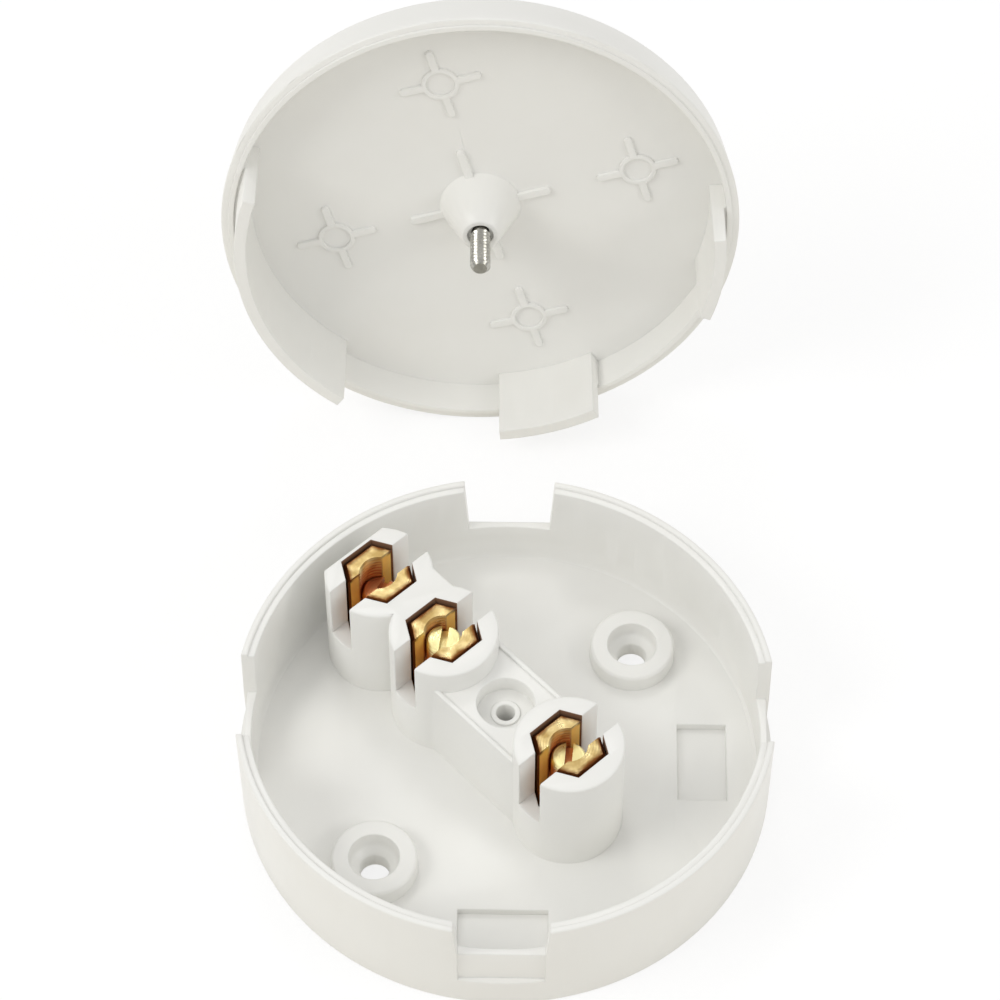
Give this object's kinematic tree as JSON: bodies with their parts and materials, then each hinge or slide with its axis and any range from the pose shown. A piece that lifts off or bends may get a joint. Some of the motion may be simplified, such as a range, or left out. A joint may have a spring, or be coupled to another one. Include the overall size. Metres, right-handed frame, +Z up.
{
  "type": "junction box",
  "caption": "Round surface-mounted wiring junction box: moulded base with brass screw terminals and a screw-down lid, shown open with the lid stood behind it.",
  "frame": {"origin": "middle of the base's underside, on the plane of its foot, midway between the two fixing holes", "axes": "+Z up from the fixing surface to the open side of the base; -Y towards the front cable entry; +X towards the right-hand entry"},
  "size_m": [0.0945, 0.1418, 0.0877],
  "materials": {
    "white_moulding": "semi-gloss moulded urea plastic",
    "terminal_brass": "machined",
    "screw_steel": "zinc plated"
  },
  "bodies": {
    "root": {"base": "white_moulding", "terminal_pillar_1": "terminal_brass", "terminal_pillar_2": "terminal_brass", "terminal_pillar_3": "terminal_brass"},
    "lid": {"lid": "white_moulding"},
    "lid_screw": {"lid_screw": "screw_steel"},
    "clamp_screw_1": {"clamp_screw_1": "terminal_brass"},
    "clamp_screw_2": {"clamp_screw_2": "terminal_brass"},
    "clamp_screw_3": {"clamp_screw_3": "terminal_brass"}
  },
  "joints": [
    {"name": "lid_lift", "type": "slide", "parent": "root", "child": "lid", "axis": [0, 0, 1], "range_m": [0, 0.08]},
    {"name": "lid_screw_turn", "type": "hinge", "parent": "lid", "child": "lid_screw", "pos_m": [-0.00575, 0.0881, 0.04285], "axis": [0.0189, -0.9843, 0.1754], "continuous": true},
    {"name": "clamp_screw_1_travel", "type": "slide", "parent": "root", "child": "clamp_screw_1", "axis": [0, 0, 1], "range_m": [-0.0012, 0.006]},
    {"name": "clamp_screw_2_travel", "type": "slide", "parent": "root", "child": "clamp_screw_2", "axis": [0, 0, 1], "range_m": [-0.004, 0.0032]},
    {"name": "clamp_screw_3_travel", "type": "slide", "parent": "root", "child": "clamp_screw_3", "axis": [0, 0, 1], "range_m": [-0.0027, 0.0045]}
  ]
}
